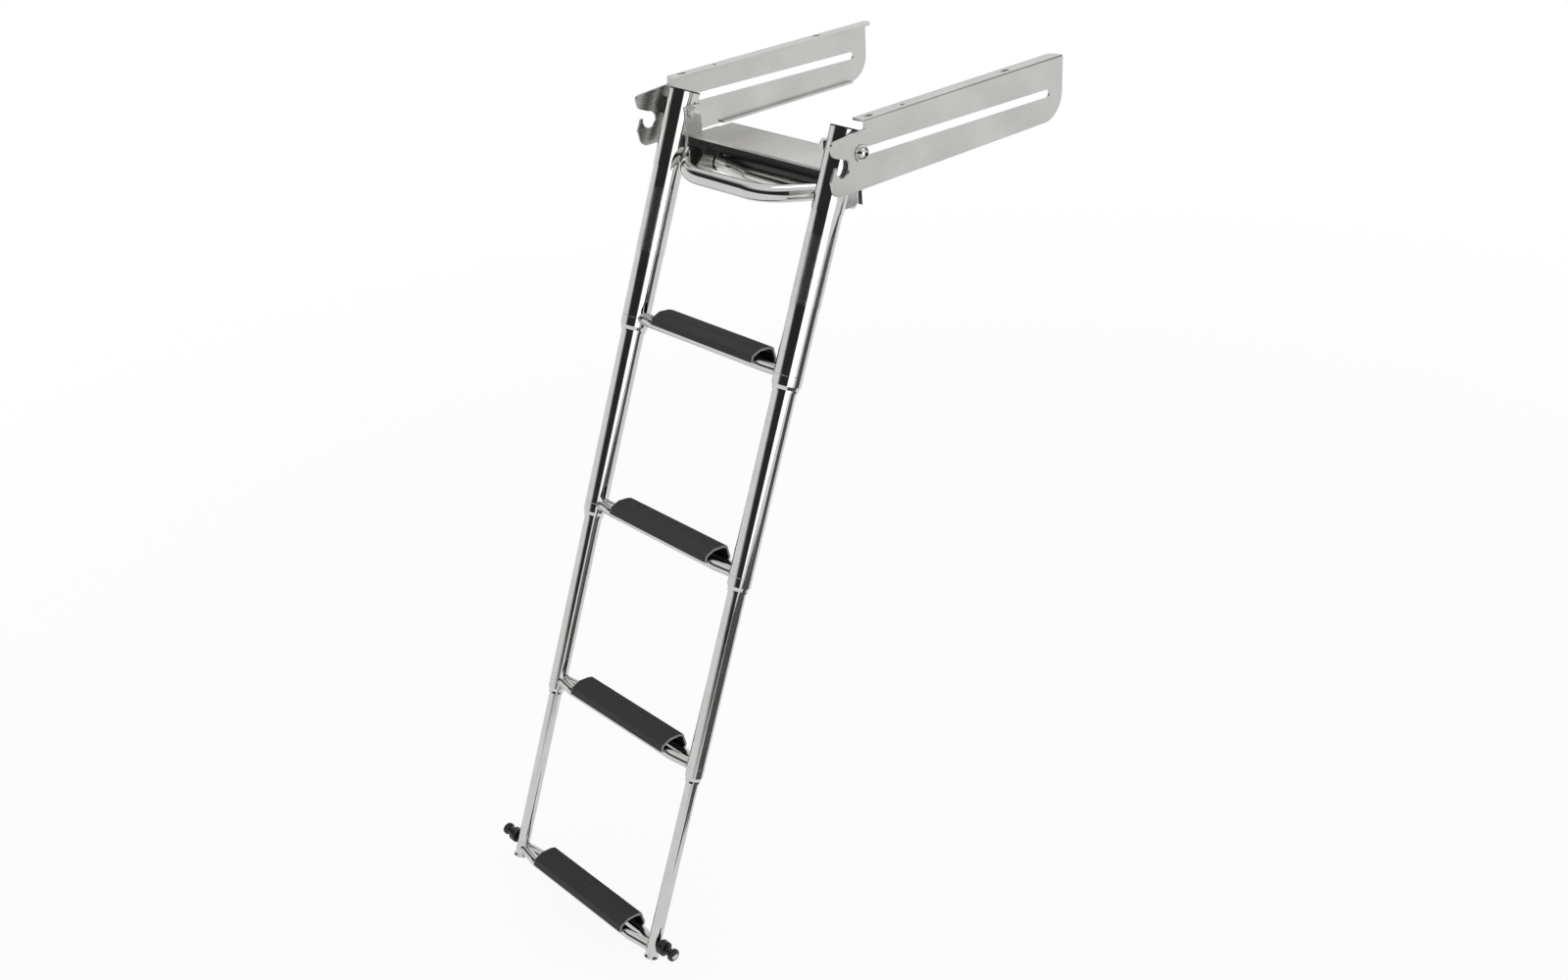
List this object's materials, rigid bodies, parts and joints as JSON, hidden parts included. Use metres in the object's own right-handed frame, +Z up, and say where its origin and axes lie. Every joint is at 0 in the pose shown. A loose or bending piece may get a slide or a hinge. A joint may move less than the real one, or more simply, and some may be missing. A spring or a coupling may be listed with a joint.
{
  "type": "retractable under-platform boat ladder",
  "caption": "Telescoping boarding ladder with tube stiles and black treads that folds up and slides into a pair of tracks under a swim platform.",
  "frame": {"origin": "on the top face of the right track's flange, on its centre line and halfway along it", "axes": "+Z up out of the flange face, +Y inboard along the tracks, +X to the right seen from the water"},
  "size_m": [0.3808, 0.8018, 1.0351],
  "materials": {
    "track_steel": "satin stainless sheet",
    "bracket_steel": "brushed stainless sheet",
    "polished_steel": "mirror-polished stainless tube",
    "tread_plastic": "ribbed black moulding",
    "cap_plastic": "smooth black moulding",
    "spacer_plastic": "turned nylon",
    "knob_rubber": "moulded black rubber"
  },
  "bodies": {
    "tracks": {"track_right": "track_steel", "track_left": "track_steel"},
    "carriage": {"pivot_bolt_right": "polished_steel", "pivot_bolt_left": "polished_steel", "web_spacers": "spacer_plastic", "pivot_nuts": "polished_steel"},
    "top_section": {"sleeve_right": "polished_steel", "sleeve_left": "polished_steel", "stile_caps": "cap_plastic", "stile_a_right": "polished_steel", "stile_a_left": "polished_steel", "collars_a": "polished_steel", "bracket_ear_right": "bracket_steel", "bracket_ear_left": "bracket_steel", "bracket_plate": "bracket_steel", "back_panel": "cap_plastic", "hand_bar": "polished_steel", "back_bar": "polished_steel", "rung_a_front": "polished_steel", "rung_a_rear": "polished_steel", "tread_a": "tread_plastic"},
    "second_section": {"stile_b_right": "polished_steel", "stile_b_left": "polished_steel", "guides_b": "cap_plastic", "collars_b": "polished_steel", "rung_b_front": "polished_steel", "rung_b_rear": "polished_steel", "tread_b": "tread_plastic"},
    "third_section": {"stile_c_right": "polished_steel", "stile_c_left": "polished_steel", "guides_c": "cap_plastic", "collars_c": "polished_steel", "rung_c_front": "polished_steel", "rung_c_rear": "polished_steel", "tread_c": "tread_plastic"},
    "bottom_section": {"stile_d_right": "polished_steel", "stile_d_left": "polished_steel", "guides_d": "cap_plastic", "rung_d_front": "polished_steel", "rung_d_rear": "polished_steel", "tread_d": "tread_plastic", "foot_caps": "polished_steel", "knob_right": "knob_rubber", "knob_left": "knob_rubber", "knob_studs": "polished_steel"}
  },
  "joints": [
    {"name": "carriage_slide", "type": "slide", "parent": "tracks", "child": "carriage", "axis": [0, 0.9998, -0.0192], "range_m": [0, 0.346]},
    {"name": "ladder_hinge", "type": "hinge", "parent": "carriage", "child": "top_section", "pos_m": [-0.17, -0.192, -0.0375], "axis": [-1, 0, 0], "range_deg": [0, 66.6]},
    {"name": "second_section_slide", "type": "slide", "parent": "top_section", "child": "second_section", "axis": [0, 0.3843, 0.9232], "range_m": [0, 0.2255]},
    {"name": "third_section_slide", "type": "slide", "parent": "second_section", "child": "third_section", "axis": [0, 0.3843, 0.9232], "range_m": [0, 0.2255]},
    {"name": "bottom_section_slide", "type": "slide", "parent": "third_section", "child": "bottom_section", "axis": [0, 0.3843, 0.9232], "range_m": [0, 0.2255]}
  ]
}
